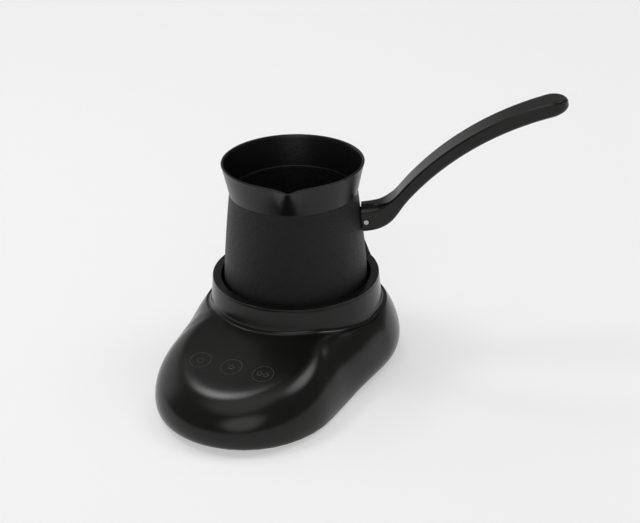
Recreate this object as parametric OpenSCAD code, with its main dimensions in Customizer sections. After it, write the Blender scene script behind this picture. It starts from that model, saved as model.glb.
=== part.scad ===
// Electric turkish coffee maker: a flaring pot with a swept handle, lifted by hand
// off a teardrop heater base with touch keys on its sloping deck.
// Millimetres. +Z up, +Y to the rear, the keys face -Y. The origin is on the table,
// under the middle of the whole object. The pieces are drawn about the axis of the
// pot and its seat, and placed() then moves them to that origin.

/* [Base outline] */
// Width of the deck between the collar's foot and the foot of the rear wall
deck_ring = 3; // [2:0.1:5]
// Radius of the rounded front end, at the foot of the wall
front_r = 53; // [48:0.5:60]
// Distance between the centres of the two ends
end_gap = 67.3; // [60:0.1:80]
// How far the rear centre lies behind the pot axis
rear_y = 0.4; // [0:0.1:3]

/* [Shell] */
// Wall of the moulded shell
wall = 2.4; // [2:0.1:3]
// Height of the deck at the foot of the collar
deck_z = 41.1; // [38:0.1:44]
// Fall of the deck towards the front, as a slope
deck_slope = 0.19; // [0.1:0.005:0.2]
// Depth of the rounded shoulder at the front
shoulder_front = 20; // [16:0.5:30]
// Depth of the rounded shoulder on the flanks, beside the keys
shoulder_side = 25.5; // [16:0.5:30]
// Depth of the rounded shoulder beside the collar
shoulder_waist = 7; // [6:0.5:12]
// Depth of the rounded shoulder at the rear
shoulder_rear = 11; // [8:0.5:18]
// Belly of the front wall over its foot
belly_front = 5.3; // [2:0.1:6]
// Belly of the flanks beside the keys
belly_side = 1.7; // [1:0.1:4]
// Belly of the walls beside the collar
belly_waist = 6.1; // [3:0.1:7]
// Belly of the rear wall over its foot
belly_rear = 5.7; // [3:0.1:7]
// Height of the parting line between shell and bottom cover
parting_z = 3.9; // [3.5:0.1:5]
// Radius of the two front screw bosses
boss_r = 4; // [3.5:0.1:5]

/* [Collar and seat] */
// Height of the top face of the collar
collar_top = 55.2; // [52:0.2:60]
// Inner radius of the seat that the pot stands in
seat_r = 45.75; // [42:0.05:50]
// Width of the collar's top face
collar_w = 5.35; // [4.8:0.05:7]
// Wall of the seat ring
ring_wall = 1.8; // [1.5:0.1:2]
// Thickness of the flange that caps the collar
flange_t = 1.2; // [1:0.1:2]
// Depth of the heater face below the top of the collar
seat_depth = 10; // [8:0.5:12]

/* [Bottom cover] */
// Height of the rubber feet under the cover
foot_h = 1.6; // [1:0.1:3]
// Radius of a rubber foot
foot_r = 7; // [5:0.5:9]
// Floor of the bottom cover
cover_t = 2.3; // [2:0.1:3]
// Radius of the self-tapping cover screws
screw_r = 1.25; // [1:0.05:1.5]

/* [Heater] */
// Width of the gasket between the heater plate and the seat
gasket_w = 3.9; // [3:0.1:5]
// Thickness of the heater plate
plate_t = 5; // [4.5:0.1:7]
// Ring radius of the tubular heating element
element_ring_r = 28; // [26:0.5:31]
// Radius of the heating element's tube
element_r = 3.3; // [3:0.1:3.6]
// Radius of the temperature probe's cap
probe_r = 6; // [5:0.25:6.5]
// Radius of the probe's stem
stem_r = 3; // [2.5:0.1:3.5]
// How far the probe can be pressed down
probe_travel = 1.5; // [1:0.1:2]

/* [Pot] */
// How far the throat flares from the crease to the rim
throat_flare = 4.1; // [2:0.1:6]
// Height of the rim above the heater face
pot_h = 83; // [78:0.5:100]
// Gap between the foot of the pot and the seat
pot_play = 1.75; // [1:0.05:2.5]
// How far the body narrows from its foot to the crease
body_taper = 5.6; // [3:0.1:8]
// Height of the throat, from the crease to the rim
throat_h = 19; // [15:0.5:24]
// Wall of the pot
pot_wall = 1.5; // [1.2:0.1:2]
// Reach of the pouring lip beyond the rim
lip_reach = 7.5; // [5:0.5:9]
// Turn of the pot in its seat, from +X to the handle
pot_turn = 22; // [0:1:45]

/* [Handle] */
// Distance from the pot axis to the tip of the handle
handle_reach = 159; // [150:1:175]
// Height of the tip's centre above the heater face
handle_rise = 118.7; // [110:0.5:130]
// Height of the middle of the handle's root above the heater face
root_rise = 46.9; // [42:0.1:52]
// Width of the handle at its root
root_w = 13; // [11:0.5:15]
// Width of the handle at its tip
tip_w = 18; // [15:0.5:21]
// Thickness of the handle in the middle of the grip
grip_t = 7.6; // [6.5:0.1:9]
// Radius of the cross rivet
rivet_r = 1; // [0.9:0.1:1.5]

/* [Electronics] */
// Width of the power board
board_w = 58; // [52:1:60]
// Depth of the power board
board_d = 34; // [32:1:35]
// Distance between the centres of two touch keys
key_pitch = 19.5; // [18:0.5:21]
// Distance from the pot axis to the row of touch keys
key_y = 88; // [86:0.5:90]
// Bore of the cable inlet
inlet_r = 3.6; // [3:0.1:4.5]

/* [Hidden] */
$fn = 96;

moulding = [0.13, 0.13, 0.12];
coated = [0.2, 0.2, 0.21];
bright = [0.75, 0.75, 0.76];
board_green = [0.08, 0.3, 0.16];

// clearances
slip = 0.05;          // a shaft or screw in its bore
part_gap = 0.45;      // between mouldings that slide into each other
eps = 0.01;

// heights of the stack
seat_z = collar_top - seat_depth;       // heater face, where the pot stands
plate_z = seat_z - plate_t;             // underside of the heater plate
gasket_t = 0.6;
lip_top = plate_z - gasket_t;
lip_t = 1.6;
lip_z = lip_top - lip_t;                // underside of the seat ring's inner lip
shield_t = 1;
shield_deep = 11;
shield_floor = lip_z - shield_t - shield_deep;

// ---------- the base's outline, in polar form about the pot axis ----------
foot_blend = 2.6;     // height at which the wall starts to belly out
collar_r = seat_r + collar_w;           // outer radius of the collar at its top
collar_foot_r = collar_r + 3.9;
rear_r = collar_foot_r + deck_ring;     // radius of the rounded rear end, at its foot
end_sine = (front_r - rear_r) / end_gap;
end_cosine = sqrt(1 - end_sine * end_sine);

function clamp01(v) = min(1, max(0, v));
function mix(a, b, t) = a + (b - a) * t;

// distance along the ray at angle a to a circle of radius r centred at (0, cy)
function ray_circle(a, cy, r) =
  let (b = sin(a) * cy) b + sqrt(max(b * b - cy * cy + r * r, 0));

// outline radius at polar angle a, moved outwards by o
function outline_r(a, o) =
  let (
    rr = rear_r + o,
    fr = front_r + o,
    to_rear = ray_circle(a, rear_y, rr),
    to_front = ray_circle(a, rear_y - end_gap, fr),
    slant = abs(cos(a)) * end_cosine + sin(a) * end_sine,
    to_flank = (rr + end_sine * rear_y) / max(slant, 0.001)
  )
  to_rear * sin(a) >= rear_y + rr * end_sine ? to_rear
  : to_flank * sin(a) < rear_y - end_gap + fr * end_sine ? to_front
  : to_flank;

// outward normal of the outline at polar angle a
function outline_n(a) =
  let (
    r = outline_r(a, 0),
    p = [r * cos(a), r * sin(a)],
    side = cos(a) < 0 ? -1 : 1
  )
  p.y >= rear_y + rear_r * end_sine ? (p - [0, rear_y]) / rear_r
  : p.y < rear_y - end_gap + front_r * end_sine ? (p - [0, rear_y - end_gap]) / front_r
  : [side * end_cosine, end_sine];

// the deck is level round the collar, then runs down to the front
deck_level_y = 38;
deck_blend = 20;
function deck_at(y) =
  let (t = max(0, -y - deck_level_y))
  deck_z - deck_slope * (t < deck_blend ? t * t / (2 * deck_blend) : t - deck_blend / 2);

// shares of front, flank beside the keys, flank beside the collar and rear at angle a
side_run = 0.81;      // the flank is all key side from this share of its length on
function shares(a) =
  let (
    n = outline_n(a),
    run = clamp01((rear_y - outline_r(a, 0) * sin(a)) / end_gap / side_run),
    along = run * run * (3 - 2 * run),
    end = n.y * n.y,
    flank = n.x * n.x
  )
  [n.y < 0 ? end : 0, flank * along, flank * (1 - along), n.y > 0 ? end : 0];

function shoulder(a) =
  shares(a) * [shoulder_front, shoulder_side, shoulder_waist, shoulder_rear];
function belly(a) = shares(a) * [belly_front, belly_side, belly_waist, belly_rear];
function roundness(a) = shares(a) * [3.4, 2.8, 3.35, 2.8];

// cosine between the outline's normal and the ray, for widths measured along the ray
function ray_cos(a) = max(0.3, outline_n(a) * [cos(a), sin(a)]);

// angle of the shoulder's superellipse where it meets the collar or the deck
function shoulder_end(a, o, stop_r) =
  let (w = shoulder(a) / ray_cos(a), run = outline_r(a, o) - stop_r)
  run >= w ? 90 : acos(pow(clamp01(1 - run / w), roundness(a) / 2));

// point [radius, height] of the wall at angle a: s runs 0 to 1 from foot to shoulder
function wall_pt(a, o, drop, stop_r, s) =
  let (
    t = s * shoulder_end(a, o, stop_r),
    w = shoulder(a) / ray_cos(a),
    k = 2 / roundness(a),
    in = w * (1 - pow(cos(t), k)),
    out = belly(a) / ray_cos(a) * sin(180 * pow(s, 0.34)),
    r = outline_r(a, o) - in + out
  )
  [r, foot_blend + (deck_at(r * sin(a)) - drop - foot_blend) * pow(sin(t), k)];

wall_steps = 11;
deck_steps = 3;

function wall_curve(a, o, drop, stop_r, steps) =
  [for (i = [1:steps]) wall_pt(a, o, drop, stop_r, pow(i / steps, 1.6))];

// from the end of the shoulder over the deck to radius stop_r
function deck_curve(a, from, stop_r, drop, full) =
  [for (i = [1:deck_steps])
    let (f = i / deck_steps, r = mix(from.x, stop_r, f))
    [r, full ? deck_at(r * sin(a)) - drop : from.y + 0.1 * f]];

edge = 0.3;           // broken edge along the parting lines
foot_out = 1;         // how far the shell's foot stands out at the parting line
collar_in = seat_r + ring_wall + part_gap;

// closed section of the shell at angle a, counted upwards on the outside
function shell_section(a) =
  let (
    outer = wall_curve(a, 0, 0, collar_foot_r + 1, wall_steps),
    full = shoulder_end(a, 0, collar_foot_r + 1) == 90,
    deck = deck_curve(a, outer[wall_steps - 1], collar_foot_r, 0, full),
    zf = deck[deck_steps - 1].y,
    cap = collar_top - flange_t,
    r_foot = outline_r(a, 0),
    in_stop = collar_foot_r - wall,
    inner = wall_curve(a, -wall, wall, in_stop, wall_steps - 3),
    in_full = shoulder_end(a, -wall, in_stop) == 90,
    ceiling = deck_curve(a, inner[wall_steps - 4], collar_in, wall, in_full)
  )
  concat(
    [[r_foot + foot_out - edge, parting_z], [r_foot + foot_out, parting_z + edge]],
    outer,
    deck,
    [[collar_foot_r - 1.3, zf + 0.4], [collar_foot_r - 2.1, zf + 1.2],
     [collar_foot_r - 2.5, zf + 2.4], [collar_r, cap - edge], [collar_r - edge, cap]],
    [[collar_in, cap]],
    [for (i = [deck_steps - 1:-1:0]) ceiling[i]],
    [for (i = [len(inner) - 1:-1:0]) inner[i]],
    [[r_foot - wall, parting_z]]
  );

// a closed skin through a ring of sections with equal numbers of points
module ring_skin(angles, sections) {
  m = len(sections[0]);
  n = len(sections);
  points = [for (k = [0:n - 1]) for (p = sections[k])
    [p.x * cos(angles[k]), p.x * sin(angles[k]), p.y]];
  faces = [for (k = [0:n - 1]) for (i = [0:m - 1])
    let (a = k * m + i, b = k * m + (i + 1) % m,
         c = ((k + 1) % n) * m + (i + 1) % m, d = ((k + 1) % n) * m + i)
    each [[a, b, c], [a, c, d]]];
  polyhedron(points, faces, convexity = 8);
}

// plan of the base, moved outwards by o
shell_angles = [for (k = [0:89]) k * 4];
module outline_2d(o) {
  polygon([for (a = shell_angles) outline_r(a, o) * [cos(a), sin(a)]]);
}

// ---------- places shared by pieces ----------
post_angles = [45, 135, 225, 315];
post_ring_r = seat_r - 1.45;
post_r = 2.9;
post_foot = 8;
boss_x = front_r - 21;
boss_y = rear_y - end_gap + 3;
screw_spots = concat(
  [for (a = post_angles) post_ring_r * [cos(a), sin(a)]],
  [[boss_x, boss_y], [-boss_x, boss_y]]
);
inlet_z = 13;
gland_r = 6;
rear_out = rear_y + rear_r + belly_rear;
gland_back = rear_out + 1.5;
gland_len = 15;

module at_screws() {
  for (p = screw_spots) translate([p.x, p.y, 0]) children();
}

// ---------- base ----------
module upper_housing() {
  color(moulding) placed()
  difference() {
    union() {
      ring_skin(shell_angles, [for (a = shell_angles) shell_section(a)]);
      for (x = [-boss_x, boss_x])
        translate([x, boss_y, post_foot])
          cylinder(r = boss_r, h = deck_at(boss_y) - 0.7 * wall - post_foot);
    }
    translate([0, rear_out + 5, inlet_z])
      rotate([90, 0, 0]) cylinder(r = gland_r + 0.2, h = 20);
    for (x = [-boss_x, boss_x])
      translate([x, boss_y, post_foot - 1]) cylinder(r = screw_r + slip, h = 13);
  }
}

lip_gap = 0.5;
tongue_t = 1.6;
step_t = 1.2;         // upper step of the cover's rim, flush with the shell
tongue_top = 8;
standoff_z = 12;
board_t = 1.6;
board_y = -key_y - 1;
board_holes = [for (x = [-1, 1]) for (y = [-1, 1])
  [x * (board_w / 2 - 4), board_y + y * (board_d / 2 - 4)]];

module bottom_cover() {
  color(moulding) placed()
  difference() {
    union() {
      translate([0, 0, foot_h]) linear_extrude(parting_z - foot_h) outline_2d(-0.6);
      translate([0, 0, parting_z - step_t])
        linear_extrude(step_t) outline_2d(foot_out - edge);
      translate([0, 0, parting_z - eps])
        linear_extrude(tongue_top - parting_z)
          difference() {
            outline_2d(-wall - lip_gap);
            outline_2d(-wall - lip_gap - tongue_t);
          }
      at_screws() translate([0, 0, parting_z - eps])
        cylinder(r = post_r + 1.6, h = post_foot - parting_z + eps);
      for (p = board_holes)
        translate([p.x, p.y, parting_z - eps])
          cylinder(r = 3, h = standoff_z - parting_z + eps);
      translate([-gland_r - 2, gland_back - gland_len, parting_z - eps])
        cube([2 * gland_r + 4, 4, inlet_z - parting_z]);
    }
    at_screws() {
      translate([0, 0, foot_h - 1]) cylinder(r = 2 * screw_r + 0.5, h = 4.4);
      translate([0, 0, foot_h]) cylinder(r = screw_r + 0.15, h = post_foot);
    }
    for (p = board_holes)
      translate([p.x, p.y, standoff_z - 6]) cylinder(r = screw_r - 0.25 + slip, h = 7);
    // cradle and notch for the cable gland
    translate([0, gland_back + 1, inlet_z])
      rotate([90, 0, 0]) cylinder(r = gland_r + slip, h = gland_len + 2);
    // air slots under the electronics and the heater
    for (x = [-20:8:20])
      for (y = [board_y - 8, 0])
        translate([x - 1.25, y - 9, 0]) cube([2.5, 18, parting_z + 1]);
    at_feet() translate([0, 0, foot_h - 1]) cylinder(r = foot_r + 0.1, h = 1.8);
  }
}

foot_x = front_r - 19;
foot_y = rear_y - end_gap - 25;
foot_spots = [[foot_x + 4, 22], [-foot_x - 4, 22], [foot_x, foot_y], [-foot_x, foot_y]];
module at_feet() {
  for (p = foot_spots) translate([p.x, p.y, 0]) children();
}

module rubber_feet() {
  color([0.1, 0.1, 0.1]) placed()
  at_feet() rotate_extrude()
    polygon([[0, 0], [foot_r - 1.2, 0], [foot_r, 1.1], [foot_r, foot_h + 0.8],
      [0, foot_h + 0.8]]);
}

module cover_screws() {
  color(bright) placed()
  at_screws() translate([0, 0, foot_h + 3.4]) difference() {
    union() {
      translate([0, 0, -1.8]) cylinder(r = 2 * screw_r, h = 1.8);
      cylinder(r = screw_r, h = 10);
    }
    for (turn = [0, 90]) rotate([0, 0, turn])
      translate([-1.8, -0.35, -2]) cube([3.6, 0.7, 1]);
  }
}

module cord_gland() {
  color([0.09, 0.09, 0.09]) placed()
  translate([0, gland_back, inlet_z]) rotate([90, 0, 0]) difference() {
    rotate_extrude() polygon([[0, 0], [gland_r + 1, 0], [gland_r + 1.6, 0.7],
      [gland_r + 1.6, 1.2], [gland_r, 1.4], [gland_r, gland_len], [0, gland_len]]);
    translate([0, 0, -1]) cylinder(r = inlet_r, h = gland_len + 2);
  }
}

// ---------- seat and overflow sensor ----------
module seat_ring() {
  color(moulding) placed()
  difference() {
    union() {
      rotate_extrude() polygon([
        [seat_r - 0.25, collar_top - 0.9], [seat_r + 0.35, collar_top],
        [collar_r - 0.5, collar_top], [collar_r, collar_top - 0.5],
        [collar_r, collar_top - flange_t], [seat_r + ring_wall, collar_top - flange_t],
        [seat_r + ring_wall, lip_z], [lip_in, lip_z], [lip_in, lip_top],
        [seat_r - 0.25, lip_top]
      ]);
      for (a = post_angles) rotate([0, 0, a])
        translate([post_ring_r, 0, post_foot])
          cylinder(r = post_r, h = lip_z + lip_t / 2 - post_foot);
    }
    for (a = post_angles) rotate([0, 0, a])
      translate([post_ring_r, 0, post_foot - 1]) cylinder(r = screw_r + slip, h = 13);
    at_studs() translate([0, 0, lip_z - 1]) cylinder(r = stud_r + 0.15, h = lip_t + 2);
  }
}

hood_h = 16;
hood_half = 34.2 / 51.1 * collar_r;     // half width where it runs out on the collar
hood_run = 19;        // width over which each end rises to the full height
hood_in = seat_r + 0.6;
window_half = 9;
window_z = collar_top + 5;
window_h = 6;

// front view of the hood: straight ends that round over into a level top
module hood_front() {
  polygon(concat(
    [[-hood_half, -1]],
    [for (i = [0:48]) let (x = mix(-hood_half, hood_half, i / 48))
      [x, hood_h * sin(90 * clamp01((hood_half - abs(x)) / hood_run))]],
    [[hood_half, -1]]
  ));
}

// a sector that carries the collar's cylinder upwards behind the pot
module hood_solid() {
  intersection() {
    translate([0, 0, collar_top]) difference() {
      cylinder(r = collar_r, h = hood_h + 1);
      translate([0, 0, -1]) cylinder(r = hood_in, h = hood_h + 3);
    }
    translate([0, collar_r + 10, collar_top]) rotate([90, 0, 0])
      linear_extrude(collar_r + 10) hood_front();
  }
}

module sensor_housing() {
  color(moulding) placed()
  difference() {
    hood_solid();
    // pocket for the sensor, open to the seat behind its window
    translate([0, 0, window_z]) linear_extrude(window_h)
      intersection() {
        difference() {
          circle(hood_in + 1.25);
          circle(hood_in - 1);
        }
        polygon([[0, 0], [-window_half - 3, 60], [window_half + 3, 60]]);
      }
    translate([0, hood_in - 1, window_z + window_h / 2])
      rotate([-90, 0, 0]) cylinder(r = sensor_r + slip, h = sensor_len + 2.6);
  }
}

module sensor_window() {
  color([0.05, 0.03, 0.05]) placed()
  translate([0, 0, window_z + 0.1]) linear_extrude(window_h - 0.2)
    intersection() {
      difference() {
        circle(hood_in + 1.2);
        circle(hood_in);
      }
      polygon([[0, 0], [-window_half - 2.8, 60], [window_half + 2.8, 60]]);
    }
}

sensor_r = 2.4;
sensor_len = 2.2;
module overflow_sensor() {
  color(bright) placed()
  translate([0, hood_in + 1.5, window_z + window_h / 2])
    rotate([-90, 0, 0]) cylinder(r = sensor_r, h = sensor_len);
}

// ---------- heater ----------
gasket_gap = 0.35;    // from the gasket to the seat's wall
plate_r = seat_r - gasket_gap - gasket_w;
stud_r = 1.25;
stud_ring_r = plate_r - 2.2;
lip_in = stud_ring_r - 2;               // inner edge of the lip that the plate sits on
stud_angles = [0, 120, 240];
module at_studs() {
  for (a = stud_angles) rotate([0, 0, a]) translate([stud_ring_r, 0, 0]) children();
}

module plate_gasket() {
  color([0.55, 0.2, 0.15]) placed()
  difference() {
    rotate_extrude() polygon([
      [lip_in + 0.2, lip_top], [seat_r - gasket_gap, lip_top],
      [seat_r - gasket_gap, plate_z + 3.6], [plate_r + 0.1, plate_z + 3.6],
      [plate_r + 0.1, plate_z], [lip_in + 0.2, plate_z]
    ]);
    at_studs() translate([0, 0, lip_top - 1]) cylinder(r = stud_r + 0.15, h = 3);
  }
}

element_z = plate_z - 1;
module hot_plate() {
  color(bright) placed()
  difference() {
    union() {
      rotate_extrude() polygon([
        [0, plate_z], [plate_r, plate_z], [plate_r, seat_z - 0.6],
        [plate_r - 0.6, seat_z], [0, seat_z]
      ]);
      at_studs() translate([0, 0, shield_nut_z - 1])
        cylinder(r = stud_r, h = plate_z - shield_nut_z + 1 + eps);
    }
    translate([0, 0, plate_z - 1]) cylinder(r = probe_r + 0.4, h = plate_t + 2);
    rotate_extrude() translate([element_ring_r, element_z]) circle(element_r + 0.1, $fn = 48);
  }
}

module heating_element() {
  color([0.45, 0.44, 0.42]) placed()
  union() {
    rotate([0, 0, 20]) rotate_extrude(angle = 320)
      translate([element_ring_r, element_z]) circle(element_r, $fn = 48);
    for (a = [24, 336]) rotate([0, 0, a])
      translate([element_ring_r, 0, shield_floor + shield_t + 2])
        cylinder(r = 1.6, h = element_z - shield_floor - shield_t - 2);
  }
}

thermostat_x = 15.5;
module thermostat() {
  color([0.8, 0.78, 0.7]) placed()
  translate([-thermostat_x, 0, 0]) union() {
    translate([0, 0, plate_z - 3]) cylinder(r = 7.5, h = 3);
    translate([0, 0, plate_z - 7]) cylinder(r = 6, h = 4 + eps);
    for (y = [-3.5, 3.5])
      translate([-3.2, y - 0.4, plate_z - 10]) cube([6.4, 0.8, 3 + eps]);
  }
}

shield_r = plate_r - 5.2;
module heat_shield() {
  color([0.7, 0.71, 0.72]) placed()
  difference() {
    rotate_extrude() polygon([
      [0, shield_floor], [shield_r - 3, shield_floor], [shield_r, shield_floor + 3],
      [shield_r, lip_z - shield_t], [plate_r - 0.3, lip_z - shield_t], [plate_r - 0.3, lip_z],
      [shield_r - shield_t, lip_z], [shield_r - shield_t, shield_floor + 3.4],
      [shield_r - 3.4, shield_floor + shield_t], [0, shield_floor + shield_t]
    ]);
    translate([0, 0, shield_floor - 1]) cylinder(r = guide_r + 0.1, h = shield_t + 2);
    at_studs() translate([0, 0, lip_z - 3]) cylinder(r = stud_r + 0.15, h = 4);
    // holes that the element's ends reach through
    for (a = [24, 336]) rotate([0, 0, a])
      translate([element_ring_r, 0, shield_floor - 1]) cylinder(r = 2.6, h = shield_t + 2);
  }
}

nut_h = 2.4;
shield_nut_z = lip_z - shield_t - nut_h;
module plate_nuts() {
  color(bright) placed()
  at_studs() translate([0, 0, shield_nut_z]) difference() {
    cylinder(r = 2.6, h = nut_h, $fn = 6);
    translate([0, 0, -1]) cylinder(r = stud_r + slip, h = nut_h + 2);
  }
}

guide_r = 5;
guide_top = shield_floor + 5;
probe_gap = 0.15;     // from the probe's cap to the bottom of the pot
module probe_guide() {
  color([0.85, 0.83, 0.78]) placed()
  difference() {
    rotate_extrude() polygon([
      [0, shield_floor - 2], [guide_r, shield_floor - 2],
      [guide_r, shield_floor + shield_t], [guide_r + 4, shield_floor + shield_t],
      [guide_r + 4, shield_floor + shield_t + 1.5], [guide_r, shield_floor + shield_t + 1.5],
      [guide_r, guide_top], [0, guide_top]
    ]);
    translate([0, 0, shield_floor - 3]) cylinder(r = stem_r + slip, h = 12);
  }
}

probe_top = seat_z - probe_gap;
cap_z = probe_top - 4.8;
clip_gap = 0.2;
module temperature_probe() {
  color([0.7, 0.7, 0.72]) placed()
  rotate_extrude() polygon([
    [0, shield_floor - 4.2], [stem_r, shield_floor - 4.2], [stem_r, shield_floor - 2 - clip_gap - 1],
    [stem_r + 1.2, shield_floor - 2 - clip_gap - 1], [stem_r + 1.2, shield_floor - 2 - clip_gap],
    [stem_r, shield_floor - 2 - clip_gap], [stem_r, cap_z],
    [probe_r, cap_z], [probe_r, probe_top - 0.6], [probe_r - 0.6, probe_top], [0, probe_top]
  ]);
}

// a compression spring between the guide and the probe's cap, as one unbroken tube
spring_turns = 5;
spring_wire = 0.45;
spring_r = 4.2;
spring_ring = 6;
spring_low = guide_top + spring_wire + 0.05;
spring_high = cap_z - spring_wire - 0.05;
module probe_spring() {
  steps = spring_turns * 16;
  pitch = (spring_high - spring_low) / spring_turns;
  lean = atan(pitch / (2 * PI * spring_r));
  points = [for (k = [0:steps]) for (j = [0:spring_ring - 1])
    let (
      a = k * 360 / 16,
      b = j * 360 / spring_ring,
      out = spring_wire * cos(b),
      up = spring_wire * sin(b),
      r = spring_r + out
    )
    [r * cos(a) + up * sin(lean) * sin(a), r * sin(a) - up * sin(lean) * cos(a),
     mix(spring_low, spring_high, k / steps) + up * cos(lean)]];
  sides = [for (k = [0:steps - 1]) for (j = [0:spring_ring - 1])
    let (a = k * spring_ring + j, b = k * spring_ring + (j + 1) % spring_ring)
    each [[a, a + spring_ring, b], [b, a + spring_ring, b + spring_ring]]];
  ends = [
    [for (j = [0:spring_ring - 1]) j],
    [for (j = [spring_ring - 1:-1:0]) steps * spring_ring + j]
  ];
  color(bright) placed() polyhedron(points, concat(sides, ends), convexity = 6);
}

module thermal_fuse() {
  color([0.9, 0.9, 0.85]) placed()
  translate([20, -6, shield_floor - 2]) rotate([-90, 0, 0]) union() {
    cylinder(r = 2, h = 12);
    translate([0, 0, -6]) cylinder(r = 0.5, h = 24);
  }
}

// ---------- electronics ----------
board_top = standoff_z + board_t;
board_end = board_w / 2;
module power_board() {
  color(board_green) placed()
  translate([0, board_y, standoff_z]) difference() {
    translate([-board_w / 2, -board_d / 2, 0]) cube([board_w, board_d, board_t]);
    for (p = board_holes)
      translate([p.x, p.y - board_y, -1]) cylinder(r = screw_r + 0.1, h = board_t + 2);
  }
}

module board_screws() {
  color(bright) placed()
  for (p = board_holes) translate([p.x, p.y, board_top]) union() {
    cylinder(r = 2.2, h = 1.4);
    translate([0, 0, -board_t - 4]) cylinder(r = screw_r - 0.25, h = board_t + 4 + eps);
  }
}

module relay() {
  color([0.1, 0.2, 0.55]) placed()
  translate([13 - board_end, board_y + 5, board_top]) union() {
    translate([-6, -9, 0]) cube([12, 18, 12]);
    translate([-4.5, -7.5, 0]) cube([9, 15, 12.6]);
  }
}

module transformer() {
  color([0.75, 0.6, 0.2]) placed()
  translate([3, board_y + 4, board_top]) difference() {
    union() {
      translate([-10, -6, 0]) cube([20, 12, 12]);
      translate([-6.5, -9, 1.5]) cube([13, 18, 9]);
    }
    translate([-7.5, -7, -1]) cube([15, 14, 2]);
  }
}

module filter_capacitor() {
  color([0.12, 0.15, 0.35]) placed()
  translate([board_end - 8, board_y + 5, board_top]) rotate_extrude()
    polygon([[0, 0], [4.6, 0], [5, 0.4], [5, 1.6], [4.7, 2], [5, 2.4], [5, 11.6],
      [4.6, 12], [0, 12]]);
}

module terminal_block() {
  color([0.15, 0.45, 0.25]) placed()
  translate([20 - board_end, board_y - 11, board_top]) difference() {
    translate([-8, -4, 0]) cube([16, 8, 9]);
    for (x = [-4, 4]) {
      translate([x, 0, 5]) cylinder(r = 1.8, h = 5);
      translate([x - 2, -5, 1.5]) cube([4, 4, 3]);
    }
  }
}

module buzzer() {
  color([0.08, 0.08, 0.08]) placed()
  translate([board_end - 17, board_y - 10, board_top]) difference() {
    cylinder(r = 5.5, h = 7);
    translate([0, 0, 5]) cylinder(r = 1.2, h = 3);
  }
}

// frame of the sloping deck: z = 0 is its underside above the row of keys
deck_tilt = atan(deck_slope);
under_deck = deck_at(-key_y) - wall;
carrier_t = 2.8;
touch_w = 50;
touch_d = 14;
touch_back = 2;       // how far the touch board's middle lies behind the row of keys
touch_corner = 7;
module on_deck() {
  translate([0, -key_y, under_deck]) rotate([deck_tilt, 0, 0]) children();
}
module at_keys() {
  for (k = [-1, 0, 1]) translate([k * key_pitch, 0, 0]) children();
}

key_r = 4.6;
key_back = 1.2;       // the springs stand a little behind the middle of the icons

// plan of the touch board: its front corners follow the round shoulder of the shell
module touch_plan() {
  translate([0, touch_back]) difference() {
    square([touch_w, touch_d], center = true);
    for (s = [-1, 1]) translate([s * touch_w / 2, -touch_d / 2]) rotate(s < 0 ? 0 : 90)
      difference() {
        square(2 * touch_corner, center = true);
        translate([touch_corner, touch_corner]) circle(touch_corner);
      }
  }
}

module touch_carrier() {
  color([0.85, 0.85, 0.82]) placed()
  on_deck() translate([0, 0, -carrier_t]) difference() {
    linear_extrude(carrier_t - 0.5) touch_plan();
    at_keys() translate([0, key_back, -1]) cylinder(r = key_r + 0.4, h = carrier_t + 2);
  }
}

module touch_board() {
  color(board_green) placed()
  on_deck() translate([0, 0, -carrier_t - 1.2]) linear_extrude(1.2) touch_plan();
}

module touch_springs() {
  color(bright) placed()
  on_deck() at_keys() translate([0, key_back, -carrier_t]) difference() {
    cylinder(r = key_r, h = carrier_t - 0.2);
    translate([0, 0, -1]) cylinder(r = key_r - 1, h = carrier_t);
  }
}

module indicator_leds() {
  color([0.95, 0.95, 0.9]) placed()
  on_deck() at_keys() translate([-1.4, key_back - 0.7, -carrier_t]) cube([2.8, 1.4, 1]);
}

// ---------- pot ----------
corner_r = 5;
bead_r = 1.1;
rim_z = seat_z + pot_h;
crease_z = rim_z - throat_h;
body_low = seat_z + corner_r;
foot_body_r = seat_r - pot_play;        // outer radius of the foot of the body
neck_r = foot_body_r - body_taper;      // outer radius at the crease
rim_r = neck_r + throat_flare;          // outer radius of the rim

// outer radius of the body between its foot and the crease
function body_r(z) = mix(foot_body_r, neck_r,
  pow(clamp01((z - body_low) / (crease_z - body_low)), 1.34));

module pot_revolve() {
  steps = 12;
  side = [for (i = [0:steps]) let (z = mix(body_low, crease_z, i / steps)) [body_r(z), z]];
  turn = [for (a = [-80:20:-20])
    [foot_body_r - corner_r + corner_r * cos(a), body_low + corner_r * sin(a)]];
  in_r = corner_r - pot_wall;
  in_turn = [for (a = [-10:-20:-90])
    [foot_body_r - corner_r + in_r * cos(a), body_low + in_r * sin(a)]];
  rotate_extrude() polygon(concat(
    [[0, seat_z], [foot_body_r - corner_r, seat_z]],
    turn, side,
    [for (i = [steps:-1:0]) side[i] - [pot_wall, 0]],
    in_turn,
    [[0, seat_z + pot_wall]]
  ));
}

// reach of the pouring lip at angle a from its tip: a sharp V with a small round
function lip_at(a) = lip_reach * exp(-(sqrt(a * a + 2) - sqrt(2)) / 7.2);
function from_lip(a) = let (d = (a + 90 + 540) % 360 - 180) d;

// outer radius of the throat at angle a: t runs from 0 at the crease to 1 at the rim
function throat_r(a, t) =
  mix(neck_r, rim_r, 0.9 * t + 0.1 * t * t) + lip_at(from_lip(a)) * pow(t, 1.7);

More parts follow.
